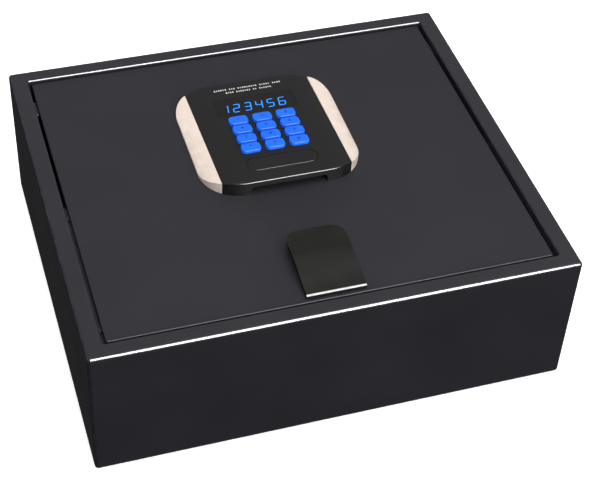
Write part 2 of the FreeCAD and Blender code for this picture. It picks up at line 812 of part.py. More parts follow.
def override_cam():
    """Arm on the plug's lower end, with a pin that moves the bolt plate."""
    pin_x, pin_y = crank_place()
    hub = rod_z(0, cover_centre_y, cam_bottom, cam_top, cam_hub_radius)
    tip_radius = cam_pin_radius * 2
    tip = rod_z(pin_x, pin_y, cam_bottom, cam_top, tip_radius)
    arm = box(0, crank_radius, -tip_radius, tip_radius, cam_bottom, cam_top)
    arm.rotate(V(0, 0, 0), V(0, 0, 1), cam_turn / 2)
    arm.translate(V(0, cover_centre_y, 0))
    pin = rod_z(pin_x, pin_y, plate_bottom_z - cam_pin_reach, cam_bottom + 0.5, cam_pin_radius)
    return joined([hub, tip, arm, pin])


# ---- bolt work --------------------------------------------------------------------
def lock_bolts():
    rod = rod_y(bolt_spread, bolt_axis_z, bolt_tip_y, bolt_root_y, bolt_radius)
    rod = rod.makeChamfer(bolt_tip_radius, edges_at(rod, lambda p: near(p.y, bolt_tip_y)))
    return both_sides(rod)


def bolt_bar():
    return box(-bar_half_x, bar_half_x, bolt_root_y, bar_back_y, bolt_axis_z - bar_half_z,
               bolt_axis_z + bar_half_z)


def bolt_plate():
    """Sheet that runs back from the bar, slotted for its two studs and the crank pin."""
    plate = box(-plate_half_x, plate_half_x, bar_back_y, plate_back_y, plate_bottom_z, plate_top)
    half_slot = stud_radius + stud_play
    tools = []
    for y in stud_y:
        tools.append(slab(-half_slot, half_slot, y - half_slot, y + bolt_travel + half_slot,
                          plate_bottom_z - 1, plate_top + 1, half_slot * 0.99))
    pin_x, pin_y = crank_place()
    half_slot = cam_pin_radius + cam_pin_play
    tools.append(slab(pin_x - half_slot, crank_radius + half_slot, pin_y - half_slot, pin_y + half_slot,
                      plate_bottom_z - 1, plate_top + 1, half_slot * 0.99))
    return cut_all(plate, tools)


def bolt_rack():
    """Rack on the bolt plate, in mesh with the pinion over the whole travel."""
    pitch = math.pi * gear_module
    slope = math.tan(math.radians(pressure_angle))
    tip = gear_addendum * gear_module
    root = gear_dedendum * gear_module
    half_tooth = (pitch / 2 - gear_backlash) / 2
    teeth_behind = math.ceil((bolt_travel + pinion_pitch_radius) / pitch)
    teeth_before = math.ceil(pinion_pitch_radius / pitch)
    first = pinion_y - teeth_before * pitch
    outline = [V(rack_left_x, first, plate_top), V(rack_left_x, first, rack_pitch_z - root)]
    for i in range(teeth_before + teeth_behind):
        middle = first + (i + 0.5) * pitch
        outline += [V(rack_left_x, middle - half_tooth - root * slope, rack_pitch_z - root),
                    V(rack_left_x, middle - half_tooth + tip * slope, rack_pitch_z + tip),
                    V(rack_left_x, middle + half_tooth - tip * slope, rack_pitch_z + tip),
                    V(rack_left_x, middle + half_tooth + root * slope, rack_pitch_z - root)]
    last = first + (teeth_before + teeth_behind) * pitch
    outline += [V(rack_left_x, last, rack_pitch_z - root), V(rack_left_x, last, plate_top)]
    return prism(outline, V(rack_right_x - rack_left_x, 0, 0))


def involute(angle):
    return math.tan(angle) - angle


def drive_pinion():
    """Involute spur pinion with one tooth pointing straight down at rest."""
    pitch_r = pinion_pitch_radius
    base_r = pitch_r * math.cos(math.radians(pressure_angle))
    tip_r = pitch_r + gear_addendum * gear_module
    root_r = pitch_r - gear_dedendum * gear_module
    tooth = math.pi * gear_module / 2 - gear_backlash
    half_at_base = tooth / (2 * pitch_r) + involute(math.radians(pressure_angle))
    flank = [(root_r, half_at_base)]
    steps = 6
    for i in range(steps + 1):
        radius = base_r + (tip_r - base_r) * i / steps
        flank.append((radius, half_at_base - involute(math.acos(base_r / radius))))
    x0 = rack_left_x + pinion_inset
    outline = []
    for n in range(pinion_teeth):
        middle = -math.pi / 2 + 2 * math.pi * n / pinion_teeth
        side = [(radius, middle - half) for radius, half in flank]
        side += [(radius, middle + half) for radius, half in reversed(flank)]
        for radius, turn in side:
            outline.append(V(x0, pinion_y + radius * math.cos(turn), pinion_z + radius * math.sin(turn)))
    gear = prism(outline, V(rack_right_x - pinion_inset - x0, 0, 0))
    return gear.cut(rod_x(pinion_y, pinion_z, x0 - 1, 0, shaft_radius))


def output_shaft():
    return rod_x(pinion_y, pinion_z, rack_left_x, gearbox_left_x + gearbox_length / 2, shaft_radius)


def gearbox():
    block = box(gearbox_left_x, gearbox_left_x + gearbox_length, pinion_y - motor_radius,
                pinion_y + motor_radius, pinion_z - motor_half_z, pinion_z + motor_half_z)
    return block.cut(rod_x(pinion_y, pinion_z, 0, gearbox_left_x + gearbox_length / 2 + shaft_end_gap,
                           shaft_radius + shaft_play))


def motor():
    start = gearbox_left_x + gearbox_length
    can = rod_x(pinion_y, pinion_z, start, start + motor_length, motor_radius)
    flats = box(start, start + motor_length, pinion_y - motor_radius, pinion_y + motor_radius,
                pinion_z - motor_half_z, pinion_z + motor_half_z)
    cap = rod_x(pinion_y, pinion_z, start + motor_length, start + motor_length + motor_cap_length,
                motor_cap_radius)
    return joined([can.common(flats), cap])


def motor_bracket():
    front = pinion_y - motor_radius - motor_bracket_margin
    back = pinion_y + motor_radius + motor_bracket_margin
    wall = box(gearbox_left_x - motor_bracket_thickness, gearbox_left_x, front, back,
               pinion_z - motor_half_z, chassis_under)
    foot = box(gearbox_left_x, gearbox_left_x + gearbox_length + motor_foot_reach, front, back,
               chassis_under - motor_bracket_thickness, chassis_under)
    hole = rod_x(pinion_y, pinion_z, 0, gearbox_left_x + 1, shaft_radius + shaft_hole_play)
    return joined([wall, foot]).cut(hole)


def plate_studs():
    """Shoulder studs that hang from the chassis and guide the bolt plate."""
    studs = []
    for y in stud_y:
        head_top = plate_bottom_z - stud_head_gap
        neck = rod_z(0, y, head_top - stud_head_thickness / 2, chassis_under, stud_radius)
        head = rod_z(0, y, head_top - stud_head_thickness, head_top, stud_head_radius)
        studs.append(joined([neck, head]))
    return studs


def bolt_guides():
    block = box(bolt_spread - guide_half_x, bolt_spread + guide_half_x, guide_front_y, guide_back_y,
                bolt_axis_z - guide_drop, lid_under)
    bore = rod_y(bolt_spread, bolt_axis_z, guide_front_y - 1, guide_back_y + 1, bolt_radius + bolt_play)
    return both_sides(block.cut(bore))


# ---- lock carrier -----------------------------------------------------------------
def post_places():
    for x in (-1, 1):
        yield x * (chassis_half_x - post_inset_x), chassis_front_y + post_inset_y
        yield x * (chassis_half_x - post_inset_x), chassis_back_y - post_inset_y


def board_post_places():
    for x in (main_board_left_x + board_post_inset_x, main_board_right_x - board_post_inset_x):
        yield x, main_board_front_y + board_post_front
        yield x, main_board_back_y - board_post_back


def lock_chassis():
    plate = box(-chassis_half_x, chassis_half_x, chassis_front_y, chassis_back_y, chassis_under, lid_under)
    pieces = [plate]
    for x, y in post_places():
        pieces.append(rod_z(x, y, cover_floor_top, chassis_under, post_radius))
    for x, y in board_post_places():
        pieces.append(rod_z(x, y, main_board_z + main_board_thickness, chassis_under, board_post_radius))
    holes = [rod_z(0, cover_centre_y, chassis_under - 1, lid_under + 1, cylinder_radius + cylinder_play),
             ribbon_hole(chassis_under - 1, lid_under + 1)]
    for x, y in post_places():
        holes.append(rod_z(x, y, cover_floor_top - 1, cover_floor_top + cover_screw_reach + 1, screw_radius))
    return cut_all(joined(pieces), holes)


def lock_cover():
    """Pan over the lock work, with a slot in its front wall for the bolt plate."""
    x = chassis_half_x + cover_margin
    front = chassis_front_y - cover_margin
    back = chassis_back_y + cover_margin
    pan = slab(-x, x, front, back, cover_bottom_z, lid_under, cover_corner)
    inside = slab(-x + cover_sheet, x - cover_sheet, front + cover_sheet, back - cover_sheet,
                  cover_floor_top, lid_under + 1, cover_corner - cover_sheet)
    slot_x = plate_half_x + cover_slot_play
    slot = box(-slot_x, slot_x, front - 1, front + cover_sheet + 1,
               plate_bottom_z - cover_slot_play, plate_top + cover_slot_play)
    holes = [rod_z(px, py, cover_bottom_z - 1, cover_floor_top + 1, screw_radius + screw_play)
             for px, py in post_places()]
    return cut_all(pan.cut(inside), [slot] + holes)


def cover_screws():
    screws = []
    for x, y in post_places():
        head = rod_z(x, y, cover_bottom_z - screw_head_height, cover_bottom_z, screw_head_radius)
        shank = rod_z(x, y, cover_bottom_z - 1, cover_floor_top + cover_screw_reach, screw_radius)
        screws.append(joined([head, shank]))
    return screws


def main_board():
    return box(main_board_left_x, main_board_right_x, main_board_front_y, main_board_back_y,
               main_board_z, main_board_z + main_board_thickness)


def board_parts():
    """Relay, two capacitors, controller chip and connector under the main board, front to
    back. The gaps before them share out what their lengths leave of the board."""
    middle = (main_board_left_x + main_board_right_x) / 2
    length = main_board_back_y - main_board_front_y
    room = length - sum(size for size, _, _, _, _ in board_part_sizes)
    share = room / (board_part_end_gap + sum(gap for _, gap, _, _, _ in board_part_sizes))
    parts = []
    y = main_board_front_y
    for size, gap, depth, left, right in board_part_sizes:
        y += gap * share
        low = main_board_z - depth
        if right is None:
            parts.append(rod_z(middle + left, y + size / 2, low, main_board_z, size / 2))
        else:
            parts.append(box(middle + left, middle + right, y, y + size, low, main_board_z))
        y += size
    return parts


def ribbon_cable():
    """Flat lead from the keypad board down through the lid to the main board."""
    board_under = pad_front_z - (ribbon_y + 1 - pad_front_y) * pad_slope \
        - (board_depth + board_thickness) / math.cos(pad_angle)
    return box(ribbon_left_x, ribbon_right_x, ribbon_y - ribbon_thickness / 2,
               ribbon_y + ribbon_thickness / 2, main_board_z + main_board_thickness,
               board_under - ribbon_end_gap)


def cell_places():
    step = 2 * cell_radius + cell_gap
    for i in range(cell_count):
        yield (i - (cell_count - 1) / 2) * step


def battery_holder():
    tray = slab(-holder_half_x, holder_half_x, holder_front_y, holder_back_y, holder_bottom_z,
                lid_under, holder_corner)
    inside = box(-holder_half_x + holder_wall, holder_half_x - holder_wall, holder_front_y + holder_wall,
                 holder_back_y - holder_wall, holder_bottom_z - 1, lid_under - holder_wall)
    return tray.cut(inside)


def batteries():
    """Four cells side by side, laid head to tail, with their raised tips."""
    cells = []
    start = holder_front_y + holder_wall + holder_end_room / 2
    for i, x in enumerate(cell_places()):
        flipped = i % 2 == 1
        can_start = start + (cell_tip_length if flipped else 0)
        can = rod_y(x, cell_axis_z, can_start, can_start + cell_length, cell_radius)
        tip_start = start if flipped else start + cell_length
        tip = rod_y(x, cell_axis_z, tip_start, tip_start + cell_tip_length, cell_tip_radius)
        cells.append(joined([can, tip]))
    return cells


def battery_door():
    """Sliding cover under the battery holder, with a thumb ridge."""
    top = holder_bottom_z - battery_door_gap
    low = top - battery_door_thickness
    plate = slab(-holder_half_x, holder_half_x, holder_front_y, holder_back_y, low, top, holder_corner)
    ridge = box(-ridge_half_x, ridge_half_x, holder_front_y + ridge_inset,
                holder_front_y + ridge_inset + ridge_width, low - ridge_height, top - 0.3)
    return joined([plate, ridge])


# ---- lift handle ------------------------------------------------------------------
def handle_curve(lift):
    """Line of the lever's top, from its flat back part down to the front edge."""
    drop = handle_top_z - (lid_top + handle_thickness + handle_front_gap)
    run = handle_flat_end_y - handle_front_y
    shape = ((0.0, 0.0), (0.30, 0.24), (0.58, 0.61), (0.80, 0.87), (1.0, 1.0))
    points = [V(0, handle_flat_end_y - run * t, handle_top_z - drop * f + lift) for t, f in shape]
    curve = Part.BSplineCurve()
    curve.interpolate(points)
    return curve.toShape(), points


def handle_lever():
    """Lift lever: a plate that is high and flat at the back and runs down to the front."""
    upper, top = handle_curve(0)
    lower, under = handle_curve(-handle_thickness)
    back_top = V(0, handle_back_y, handle_top_z)
    back_low = V(0, handle_back_y, handle_top_z - handle_thickness)
    outline = Part.Wire([Part.makeLine(back_top, top[0]), upper, Part.makeLine(top[-1], under[-1]),
                         lower, Part.makeLine(under[0], back_low), Part.makeLine(back_low, back_top)])
    plate = Part.Face(outline).extrude(V(2 * handle_half_x, 0, 0))
    plate.translate(V(-handle_half_x, 0, 0))
    plan = box(-handle_half_x, handle_half_x, handle_front_y - 1, handle_back_y, lid_top, handle_top_z + 1)
    corners = edges_at(plan, lambda p: near(p.y, handle_back_y) and near(abs(p.x), handle_half_x))
    plate = plate.common(plan.makeFillet(handle_corner_radius, corners))
    knuckle = rod_x(handle_pin_y, handle_pin_z, -handle_knuckle_half_x, handle_knuckle_half_x,
                    handle_knuckle_radius)
    neck = box(-handle_knuckle_half_x, handle_knuckle_half_x, handle_pin_y - handle_neck_half_y,
               handle_pin_y + handle_neck_half_y, handle_pin_z, handle_top_z - handle_thickness / 2)
    bore = rod_x(handle_pin_y, handle_pin_z, -handle_half_x, handle_half_x,
                 handle_pin_radius + handle_pin_play)
    lever = joined([plate, knuckle, neck]).cut(bore)
    front = edges_at(lever, lambda p: near(p.y, handle_front_y) and p.z > lid_top + 2 and near(p.x, 0))
    return lever.makeFillet(handle_front_radius, front)


def handle_base():
    """Foot under the lever's back end: two ears for the pin, joined by a thin web."""
    inner = handle_knuckle_half_x + handle_ear_gap
    ear = rod_x(handle_pin_y, handle_pin_z, inner, handle_ear_half_x, handle_ear_radius)
    heel = box(inner, handle_ear_half_x, handle_pin_y - handle_ear_radius,
               handle_pin_y + handle_ear_radius, lid_top, handle_pin_z)
    block = box(inner, handle_ear_half_x, handle_foot_front_y, handle_pin_y, lid_top,
                lid_top + handle_foot_height)
    bore = rod_x(handle_pin_y, handle_pin_z, 0, handle_half_x, handle_pin_radius)
    side = joined([ear, heel, block]).cut(bore)
    web = box(-handle_ear_half_x, handle_ear_half_x, handle_foot_front_y,
              handle_pin_y + handle_ear_radius, lid_top, lid_top + handle_web)
    base = joined(both_sides(side) + [web])
    holes = [rod_z(x, y, lid_top - 1, lid_top + screw_reach, screw_radius) for x, y in handle_screw_places()]
    return cut_all(base, holes)


def handle_pin():
    return rod_x(handle_pin_y, handle_pin_z, -handle_ear_half_x, handle_ear_half_x, handle_pin_radius)


# ---- every node -------------------------------------------------------------------
def nodes():
    trim_right, trim_left = both_sides(keypad_trim())
    made = {
        "body_shell": body_shell(),
        "floor_mat": floor_mat(),
        "lid_ledges": lid_ledges(),
        "lid_bumpers": lid_bumpers(),
        "bolt_keeper": bolt_keeper(),
        "hinge_brackets": hinge_brackets(),
        "hinge_pins": hinge_pins(),
        "pin_clips": pin_clips(),
        "lid_plate": lid_plate(),
        "lid_ears": lid_ears(),
        "ear_bushes": ear_bushes(),
        "lid_screws": lid_screws(),
        "keypad_housing": keypad_housing(),
        "keypad_trim_right": trim_right,
        "keypad_trim_left": trim_left,
        "display_window": display_window(),
        "display_module": display_module(),
        "keypad_board": keypad_board(),
        "key_mat": key_mat(),
        "override_cover": override_cover(),
        "override_cylinder": override_cylinder(),
        "cylinder_nut": cylinder_nut(),
        "override_plug": override_plug(),
        "override_cam": override_cam(),
        "lock_bolts": lock_bolts(),
        "bolt_bar": bolt_bar(),
        "bolt_plate": bolt_plate(),
        "bolt_rack": bolt_rack(),
        "drive_pinion": drive_pinion(),
        "output_shaft": output_shaft(),
        "gearbox": gearbox(),
        "motor": motor(),
        "motor_bracket": motor_bracket(),
        "plate_studs": plate_studs(),
        "bolt_guides": bolt_guides(),
        "lock_chassis": lock_chassis(),
        "lock_cover": lock_cover(),
        "cover_screws": cover_screws(),
        "main_board": main_board(),
        "board_parts": board_parts(),
        "ribbon_cable": ribbon_cable(),
        "battery_holder": battery_holder(),
        "batteries": batteries(),
        "battery_door": battery_door(),
        "handle_lever": handle_lever(),
        "handle_base": handle_base(),
        "handle_pin": handle_pin(),
    }
    for name, x, y in key_places():
        made["key_" + name] = key_cap(x, y)
    return made


def write(name, shape):
    if isinstance(shape, list):
        shape = Part.makeCompound(shape)
    if not shape.isValid():
        raise ValueError(name + " is not a valid solid")
    shape.exportStep(os.path.join("parts", name + ".step"))


os.makedirs("parts", exist_ok=True)
for node_name, node_shape in nodes().items():
    write(node_name, node_shape)
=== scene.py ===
import json
import math
import bmesh
import bpy
from mathutils import Matrix, Vector, noise


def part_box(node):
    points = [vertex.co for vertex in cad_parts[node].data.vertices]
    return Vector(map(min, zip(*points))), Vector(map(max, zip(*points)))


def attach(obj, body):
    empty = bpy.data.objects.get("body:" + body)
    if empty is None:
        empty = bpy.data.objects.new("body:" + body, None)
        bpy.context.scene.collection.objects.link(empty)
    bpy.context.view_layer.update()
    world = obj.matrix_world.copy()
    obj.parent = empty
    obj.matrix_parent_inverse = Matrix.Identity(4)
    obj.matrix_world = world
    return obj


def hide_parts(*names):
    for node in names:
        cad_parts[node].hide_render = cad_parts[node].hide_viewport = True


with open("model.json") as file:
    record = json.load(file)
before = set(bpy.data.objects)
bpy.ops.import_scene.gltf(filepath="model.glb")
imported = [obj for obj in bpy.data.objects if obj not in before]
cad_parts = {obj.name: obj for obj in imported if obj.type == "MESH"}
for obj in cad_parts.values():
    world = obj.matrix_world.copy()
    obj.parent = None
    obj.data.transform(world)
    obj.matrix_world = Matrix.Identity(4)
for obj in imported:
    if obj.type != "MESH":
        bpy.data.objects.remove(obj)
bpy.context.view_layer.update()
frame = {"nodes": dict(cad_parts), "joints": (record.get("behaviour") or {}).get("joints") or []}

bl_info = {
    "name": "Drawer Gun Safe",
    "version": (1, 0, 0),
    "blender": (4, 5, 0),
    "location": "View3D > Sidebar > Safe",
    "description": "Builds the finishes and visible detail of a top-opening drawer safe",
    "category": "Object",
}

MM = 0.001

# The camera: azimuth, elevation and roll in degrees, the point it looks at and how far off it is.
LENS_MM = 91.16
SENSOR_MM = 36.0
CAMERA_ANGLES = (-19.507, 44.15, -3.418)
CAMERA_TARGET = (0.01153, -0.02865, 0.065)
CAMERA_DISTANCE = 1.30629

# The lights: name, place in metres, width, height and watts.
SOFT_LIGHTS = (("top_light", (0.2, -0.3, 2.4), 2.2, 2.2, 54),
               ("front_fill", (0.6, -2.2, 0.7), 1.2, 0.8, 30),
               ("back_fill", (-0.5, 2.3, 1.0), 1.4, 1.0, 26))
EDGE_LIGHT = ("edge_light", (0.5, -1.5, 1.5), 1.3, 2.1, 540)
AIM = (0, 0, 0.1)

JOINT = {joint["name"]: joint for joint in frame["joints"]}
KEYS = {"1": "1", "2": "2", "3": "3", "4": "4", "5": "5", "6": "6", "7": "7", "8": "8", "9": "9",
        "star": "*", "0": "0", "hash": "#"}


def sloping_top():
    """Frame of the keypad's sloping top: origin on its front edge, y up the slope, z outwards."""
    normal = Vector(JOINT["cover_lift"]["axis"]).normalized()
    tilt = math.atan2(normal.y, normal.z)
    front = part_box("keypad_housing")[0].y
    cover_low, cover_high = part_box("override_cover")
    height = cover_high.z + (cover_low.y - front) * math.tan(tilt)
    return Matrix.Translation((0, front, height)) @ Matrix.Rotation(-tilt, 4, "X")


PAD = sloping_top()


def on_slope(node):
    """Middle of a node's box on the sloping top, with the height of its own top there."""
    low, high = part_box(node)
    place = PAD.inverted() @ ((low + high) / 2)
    place.z = max((PAD.inverted() @ vert.co).z for vert in frame["nodes"][node].data.vertices)
    return place


def linear(hex_colour):
    """Turn an sRGB hex colour into linear red, green and blue."""
    parts = [int(hex_colour[i:i + 2], 16) / 255 for i in (1, 3, 5)]
    return tuple(c / 12.92 if c <= 0.04045 else ((c + 0.055) / 1.055) ** 2.4 for c in parts)


def colour_property(name, description, hex_colour):
    return bpy.props.FloatVectorProperty(name=name, description=description, subtype="COLOR",
                                         size=3, min=0, max=1, default=linear(hex_colour))


def length_property(name, description, metres):
    return bpy.props.FloatProperty(name=name, description=description, unit="LENGTH",
                                   subtype="DISTANCE", min=0, default=metres)


class SafeColours(bpy.types.PropertyGroup):
    """Colours of the safe's finishes."""
    coat: colour_property("Case coat", "Powder coat on the case", "#222127")
    # the case's paint, painted a little lighter on the lid to make up for the gloss taken off it
    lid: colour_property("Lid coat", "Powder coat on the lid", "#27262B")
    housing: colour_property("Housing plastic", "Moulded keypad housing", "#131313")
    handle: colour_property("Handle plastic", "Moulded lift handle", "#191A18")
    trim: colour_property("Side trims", "Cream mouldings beside the keypad", "#CFC0B5")
    # the key caps' glow is a painted glow; no lamp lights them
    key: colour_property("Keys", "Lit key caps", "#1058D0")
    legend: colour_property("Legends", "Print on the keys", "#0A2F86")
    digit: colour_property("Display digits", "Lit segments of the display", "#1C7CE0")
    print_ink: colour_property("Print", "Light print above the display", "#C9C9C9")
    felt: colour_property("Felt", "Mat on the safe's floor", "#34353A")


class SafeSizes(bpy.types.PropertyGroup):
    """Sizes of the detail that is modelled on top of the frame."""
    edge: length_property("Edge radius", "Soft edge of pressed and moulded parts", 0.4 * MM)
    digit_height: length_property("Digit height", "Height of a display digit", 11.8 * MM)
    digit_pitch: length_property("Digit pitch", "Distance between display digits", 10.3 * MM)
    stroke: length_property("Segment width", "Width of a display segment", 1.0 * MM)
    legend_height: length_property("Legend height", "Height of the figures on the keys", 4.0 * MM)
    print_height: length_property("Print height", "Height of the small print marks", 2.1 * MM)


# ---- shader nodes -----------------------------------------------------------------
def add(tree, kind, settings=None, **links):
    """Add one node with its settings and links; a link named _0 goes to the input of that number."""
    node = tree.nodes.new(kind)
    for name, value in (settings or {}).items():
        if isinstance(name, int) or name in node.inputs.keys():
            node.inputs[name].default_value = value
        else:
            setattr(node, name, value)
    for name, socket in links.items():
        key = int(name[1:]) if name[0] == "_" else name.replace("_", " ")
        tree.links.new(socket, node.inputs[key])
    return node


def begin(name, **constants):
    """A material with one Principled shader, its constants on its own sockets."""
    material = bpy.data.materials.new(name)
    material.use_nodes = True
    tree = material.node_tree
    tree.nodes.clear()
    shader = add(tree, "ShaderNodeBsdfPrincipled",
                 {key.replace("_", " "): value for key, value in constants.items()})
    add(tree, "ShaderNodeOutputMaterial", Surface=shader.outputs["BSDF"])
    return material, tree, shader, add(tree, "ShaderNodeTexCoord").outputs["Object"]


def mottled(tree, where, colour, size_mm, darker, lighter, detail=3.0):
    """A colour that drifts between darker and lighter in patches about size_mm across."""
    patch = add(tree, "ShaderNodeTexNoise", {"Scale": 1 / (size_mm * MM), "Detail": detail}, Vector=where)
    share = add(tree, "ShaderNodeMapRange", {"From Min": 0.3, "From Max": 0.7},
                Value=patch.outputs["Fac"]).outputs["Result"]
    return add(tree, "ShaderNodeMix",
               {"data_type": "RGBA", 6: [c * darker for c in colour] + [1],
                7: [min(1, c * lighter) for c in colour] + [1]}, _0=share).outputs[2]


def patchy_gloss(tree, where, shader, size_mm, low, high, stretch=(1, 1, 1)):
    """Roughness that drifts from low to high, in patches drawn out by stretch."""
    along = add(tree, "ShaderNodeMapping", {"Scale": stretch}, Vector=where).outputs[0]
    patch = add(tree, "ShaderNodeTexNoise", {"Scale": 1 / (size_mm * MM), "Detail": 3.0}, Vector=along)
    share = add(tree, "ShaderNodeMapRange", {"From Min": 0.3, "From Max": 0.7, "To Min": low, "To Max": high},
                Value=patch.outputs["Fac"]).outputs["Result"]
    tree.links.new(share, shader.inputs["Roughness"])
    return share


def grain(tree, where, shader, size_mm, depth_mm, strength, stretch=(1, 1, 1), detail=2.0):
    """Fine relief about size_mm across and depth_mm deep."""
    along = add(tree, "ShaderNodeMapping", {"Scale": stretch}, Vector=where).outputs[0]
    relief = add(tree, "ShaderNodeTexNoise", {"Scale": 1 / (size_mm * MM), "Detail": detail}, Vector=along)
    bump = add(tree, "ShaderNodeBump", {"Distance": depth_mm * MM, "Strength": strength},
               Height=relief.outputs["Fac"])
    tree.links.new(bump.outputs["Normal"], shader.inputs["Normal"])


def rounded_edges(tree):
    """Mask that is 1 where the surface turns from one main direction to another, so on the
    rounded edges that hands and cloths polish, and 0 on the flat faces. It also places the
    lighter edge colour, which is partly wear and partly a painted highlight."""
    normal = add(tree, "ShaderNodeTexCoord").outputs["Normal"]
    folded = add(tree, "ShaderNodeVectorMath", {"operation": "ABSOLUTE"}, _0=normal).outputs[0]
    axes = add(tree, "ShaderNodeSeparateXYZ", Vector=folded).outputs
    most = add(tree, "ShaderNodeMath", {"operation": "MAXIMUM"}, _0=axes[0], _1=axes[1]).outputs[0]
    most = add(tree, "ShaderNodeMath", {"operation": "MAXIMUM"}, _0=most, _1=axes[2]).outputs[0]
    return add(tree, "ShaderNodeMapRange", {"From Min": 0.97, "From Max": 0.9}, Value=most).outputs["Result"]


def polish_wear_highlight_edges(tree, where, shader, colour, rough, smooth, lighter):
    """Join a colour and a roughness to the shader, both changed where edges are polished: the roughness
    drops, and the colour turns lighter in broken patches, partly wear and partly a painted highlight.
    """
    edge = rounded_edges(tree)
    gloss = add(tree, "ShaderNodeMix", {"data_type": "FLOAT", 3: smooth}, _0=edge, _2=rough).outputs[0]
    tree.links.new(gloss, shader.inputs["Roughness"])
    wear_highlight_noise = add(tree, "ShaderNodeTexNoise", {"Scale": 1 / (9 * MM), "Detail": 4.0}, Vector=where)
    broken = add(tree, "ShaderNodeMapRange", {"From Min": 0.42, "From Max": 0.7, "To Max": 0.6},
                 Value=wear_highlight_noise.outputs["Fac"]).outputs["Result"]
    # lighter colour on the rounded edges: partly wear, partly a painted highlight
    edge_wear_highlight_mask = add(tree, "ShaderNodeMath", {"operation": "MULTIPLY"}, _0=edge, _1=broken).outputs[0]
    tone = add(tree, "ShaderNodeMix", {"data_type": "RGBA", 7: [*lighter, 1]}, _0=edge_wear_highlight_mask,
               _6=colour).outputs[2]
    tree.links.new(tone, shader.inputs["Base Color"])


# ---- materials --------------------------------------------------------------------
def powder_coat(name, colour, level, rough, edge_rough):
    """Baked polyester powder on steel. A fine orange peel breaks up its soft gloss, it is a
    little cloudy, and the case's outer edges are slightly lighter: partly wear, partly a painted highlight."""
    material, tree, shader, where = begin(name, Specular_IOR_Level=level)
    polish_wear_highlight_edges(tree, where, shader, mottled(tree, where, colour, 70, 0.96, 1.04, 2),
                   patchy_gloss(tree, where, shader, 60, rough - 0.03, rough + 0.03), edge_rough,
                   [c * 1.9 + 0.01 for c in colour])
    grain(tree, where, shader, 1.2, 0.02, 0.25)
    return material


def moulded_plastic(name, colour, rough, grain_mm=0.5, depth_mm=0.02, level=0.4):
    """Injection moulded ABS or acetal: a spark-eroded grain dulls its gloss, and its rounded
    edges are polished and a little lighter, partly wear and partly a painted highlight."""
    material, tree, shader, where = begin(name, Specular_IOR_Level=level)
    polish_wear_highlight_edges(tree, where, shader, mottled(tree, where, colour, 22, 0.96, 1.04),
                   patchy_gloss(tree, where, shader, 18, rough - 0.02, rough + 0.03), 0.5 * rough,
                   [min(1, c * 1.3 + 0.01) for c in colour])
    grain(tree, where, shader, grain_mm, depth_mm, 0.35)
    return material


def handle_with_painted_highlight(colour):
    """Moulded ABS with a spark-eroded grain, and a painted highlight: a pale band along the upward-facing
    front edge that fingers lift.
    """
    material, tree, shader, where = begin("abs_handle", Specular_IOR_Level=0.06)
    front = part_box("handle_lever")[0].y
    along = add(tree, "ShaderNodeSeparateXYZ", Vector=where).outputs[1]
    edge = add(tree, "ShaderNodeMapRange", {"From Min": front + 1.0 * MM, "From Max": front + 1.7 * MM,
                                            "To Min": 1.0, "To Max": 0.0}, Value=along).outputs["Result"]
    facing = add(tree, "ShaderNodeSeparateXYZ",
                 Vector=add(tree, "ShaderNodeTexCoord").outputs["Normal"]).outputs[2]
    upper = add(tree, "ShaderNodeMapRange", {"From Min": 0.1, "From Max": 0.35},
                Value=facing).outputs["Result"]
    band = add(tree, "ShaderNodeMath", {"operation": "MULTIPLY"}, _0=edge, _1=upper).outputs[0]
    # the pale band on the upward-facing front edge is a painted highlight
    tone = add(tree, "ShaderNodeMix", {"data_type": "RGBA"}, _0=band,
               _6=mottled(tree, where, colour, 22, 0.93, 1.07),
               _7=mottled(tree, where, linear("#D2D2D0"), 3, 0.85, 1.05)).outputs[2]
    tree.links.new(tone, shader.inputs["Base Color"])
    patchy_gloss(tree, where, shader, 18, 0.46, 0.56)
    grain(tree, where, shader, 0.45, 0.03, 0.35)
    return material


def plated_steel(name, colour, rough):
    """Zinc plate with a clear passivate: pale grey with straw patches, over the faint lines
    that rolling left in the sheet."""
    material, tree, shader, where = begin(name, Metallic=1.0)
    grey = mottled(tree, where, colour, 14, 0.86, 1.06)
    straw = mottled(tree, where, [colour[0], colour[1] * 0.95, colour[2] * 0.8], 14, 0.86, 1.06)
    drift = add(tree, "ShaderNodeTexNoise", {"Scale": 1 / (30 * MM)}, Vector=where).outputs["Fac"]
    tone = add(tree, "ShaderNodeMix", {"data_type": "RGBA"}, _0=drift, _6=grey, _7=straw).outputs[2]
    tree.links.new(tone, shader.inputs["Base Color"])
    patchy_gloss(tree, where, shader, 0.6, rough - 0.07, rough + 0.1, (0.04, 1, 1))
    grain(tree, where, shader, 0.6, 0.01, 0.3, (0.04, 1, 1))
    return material


def turned_metal(name, colour, rough):
    """Bar turned on a lathe: fine rings round it, and dull spots from handling."""
    material, tree, shader, where = begin(name, Metallic=1.0)
    tree.links.new(mottled(tree, where, colour, 7, 0.82, 1.05, 4), shader.inputs["Base Color"])
    patchy_gloss(tree, where, shader, 0.5, rough - 0.06, rough + 0.1, (0.05, 1, 0.05))
    grain(tree, where, shader, 0.5, 0.008, 0.35, (0.05, 1, 0.05))
    return material


def silicone_with_painted_glow(colour):
    """Tinted silicone key cap with a satin skin. It glows a little from within, unevenly:
    a painted glow, as no lamp is modelled under it."""
    # the emission is a painted glow
    material, tree, shader, where = begin("silicone_with_painted_glow", Roughness=0.5, Specular_IOR_Level=0.12,
                                          Emission_Strength=0.42)
    tone = mottled(tree, where, colour, 9, 0.9, 1.08)
    tree.links.new(tone, shader.inputs["Base Color"])
    tree.links.new(tone, shader.inputs["Emission Color"])
    grain(tree, where, shader, 0.5, 0.01, 0.2)
    return material


